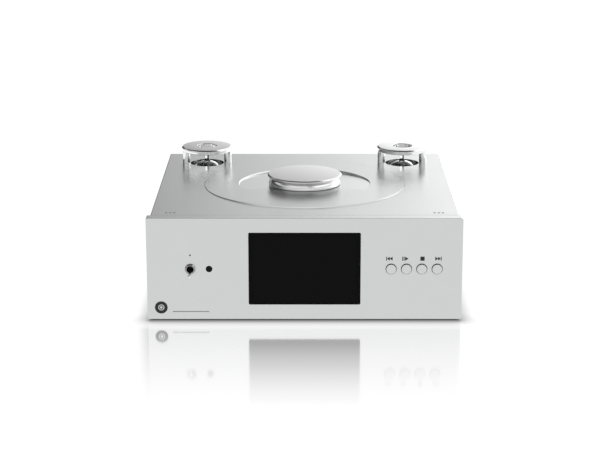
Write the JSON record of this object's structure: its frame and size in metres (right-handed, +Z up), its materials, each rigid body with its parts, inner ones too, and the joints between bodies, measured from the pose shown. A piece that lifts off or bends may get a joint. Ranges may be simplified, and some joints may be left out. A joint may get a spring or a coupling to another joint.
{
  "type": "top-loading cd player",
  "caption": "Compact hi-fi disc player in a silver aluminium case with a round lift-off lid, a front display, push buttons, a toggle switch and valves under open round covers.",
  "frame": {"origin": "on the floor, on the disc's axis, which is the middle of the object in plan", "axes": "+Z up along the disc's axis; the front panel faces -Y; +X is to the viewer's right when facing the front panel"},
  "size_m": [0.206, 0.2108, 0.0833],
  "materials": {
    "silver_aluminium": "satin blasted and anodised, light silver",
    "polished_aluminium": "fine turned, near polished",
    "steel": "plain machined",
    "chrome": "bright plated",
    "black_glass": "glossy, printed black from behind",
    "clear_glass": "clear blown glass",
    "black_plastic": "fine moulded grain",
    "dark_metal": "dark satin",
    "rubber": "matte black",
    "circuit_board": "green solder mask",
    "ceramic": "unglazed white",
    "gold": "gold plated",
    "white_ribbon": "flat white film"
  },
  "bodies": {
    "case": {"front_panel": "silver_aluminium", "top_plate": "silver_aluminium", "side_panel_left": "silver_aluminium", "side_panel_right": "silver_aluminium", "rear_panel": "silver_aluminium", "base_plate": "silver_aluminium", "foot_front_left": "rubber", "foot_front_right": "rubber", "foot_rear_left": "rubber", "foot_rear_right": "rubber", "display_window": "black_glass", "display_module": "black_plastic", "display_ribbon_cable": "white_ribbon", "control_board": "circuit_board", "power_switch": "chrome", "ir_window": "black_glass", "status_led": "black_plastic", "disc_well": "black_plastic", "spindle_motor": "steel", "drive_chassis": "dark_metal", "guide_rod_left": "steel", "guide_rod_right": "steel", "sled_motor": "steel", "damper_front_left": "rubber", "damper_front_right": "rubber", "damper_rear_left": "rubber", "damper_rear_right": "rubber", "valve_glass_left": "clear_glass", "valve_glass_right": "clear_glass", "valve_electrodes_left": "dark_metal", "valve_electrodes_right": "dark_metal", "valve_socket_left": "ceramic", "valve_socket_right": "ceramic", "valve_cover_left": "polished_aluminium", "valve_cover_right": "polished_aluminium", "cover_post_left_inner": "polished_aluminium", "cover_post_left_outer": "polished_aluminium", "cover_post_right_inner": "polished_aluminium", "cover_post_right_outer": "polished_aluminium", "main_board": "circuit_board", "line_socket_left": "gold", "line_socket_right": "gold", "digital_socket": "gold", "optical_socket": "black_plastic", "dc_socket": "black_plastic", "xlr_socket_left": "steel", "xlr_socket_right": "steel"},
    "lid": {"lid_plate": "silver_aluminium", "lid_knob": "polished_aluminium", "clamp_shoulder_screw": "steel"},
    "clamp": {"disc_clamp": "dark_metal"},
    "spindle": {"spindle_hub": "black_plastic"},
    "sled": {"laser_sled": "black_plastic"},
    "lens": {"laser_lens": "black_glass"},
    "lead_screw": {"sled_lead_screw": "steel"},
    "switch_lever": {"power_switch_lever": "chrome"},
    "previous_button": {"button_previous": "silver_aluminium"},
    "play_button": {"button_play_pause": "silver_aluminium"},
    "stop_button": {"button_stop": "silver_aluminium"},
    "next_button": {"button_next": "silver_aluminium"}
  },
  "joints": [
    {"name": "lid_lift", "type": "slide", "parent": "case", "child": "lid", "axis": [0, 0, 1], "range_m": [0, 0.06]},
    {"name": "clamp_spin", "type": "hinge", "parent": "lid", "child": "clamp", "pos_m": [0, 0, 0.063], "axis": [0, 0, 1], "continuous": true},
    {"name": "spindle_spin", "type": "hinge", "parent": "case", "child": "spindle", "pos_m": [0, 0, 0.0595], "axis": [0, 0, 1], "continuous": true},
    {"name": "sled_slide", "type": "slide", "parent": "case", "child": "sled", "axis": [0, -1, 0], "range_m": [0, 0.0345]},
    {"name": "lead_screw_spin", "type": "hinge", "parent": "case", "child": "lead_screw", "pos_m": [0.017, -0.03, 0.0496], "axis": [0, 1, 0], "continuous": true},
    {"name": "lens_focus", "type": "slide", "parent": "sled", "child": "lens", "axis": [0, 0, 1], "range_m": [-0.0007, 0.0007]},
    {"name": "power_toggle", "type": "hinge", "parent": "case", "child": "switch_lever", "pos_m": [-0.0746, -0.0925, 0.0363], "axis": [1, 0, 0], "range_deg": [-26, 0]},
    {"name": "previous_press", "type": "slide", "parent": "case", "child": "previous_button", "axis": [0, 1, 0], "range_m": [0, 0.001], "stiffness_N_per_m": 150, "springref_m": -0.001},
    {"name": "play_press", "type": "slide", "parent": "case", "child": "play_button", "axis": [0, 1, 0], "range_m": [0, 0.001], "stiffness_N_per_m": 150, "springref_m": -0.001},
    {"name": "stop_press", "type": "slide", "parent": "case", "child": "stop_button", "axis": [0, 1, 0], "range_m": [0, 0.001], "stiffness_N_per_m": 150, "springref_m": -0.001},
    {"name": "next_press", "type": "slide", "parent": "case", "child": "next_button", "axis": [0, 1, 0], "range_m": [0, 0.001], "stiffness_N_per_m": 150, "springref_m": -0.001}
  ],
  "couplings": [
    {"joint": "clamp_spin", "follows": "spindle_spin", "ratio": 1},
    {"joint": "lead_screw_spin", "follows": "sled_slide", "rad_per_m": 2094.4}
  ]
}
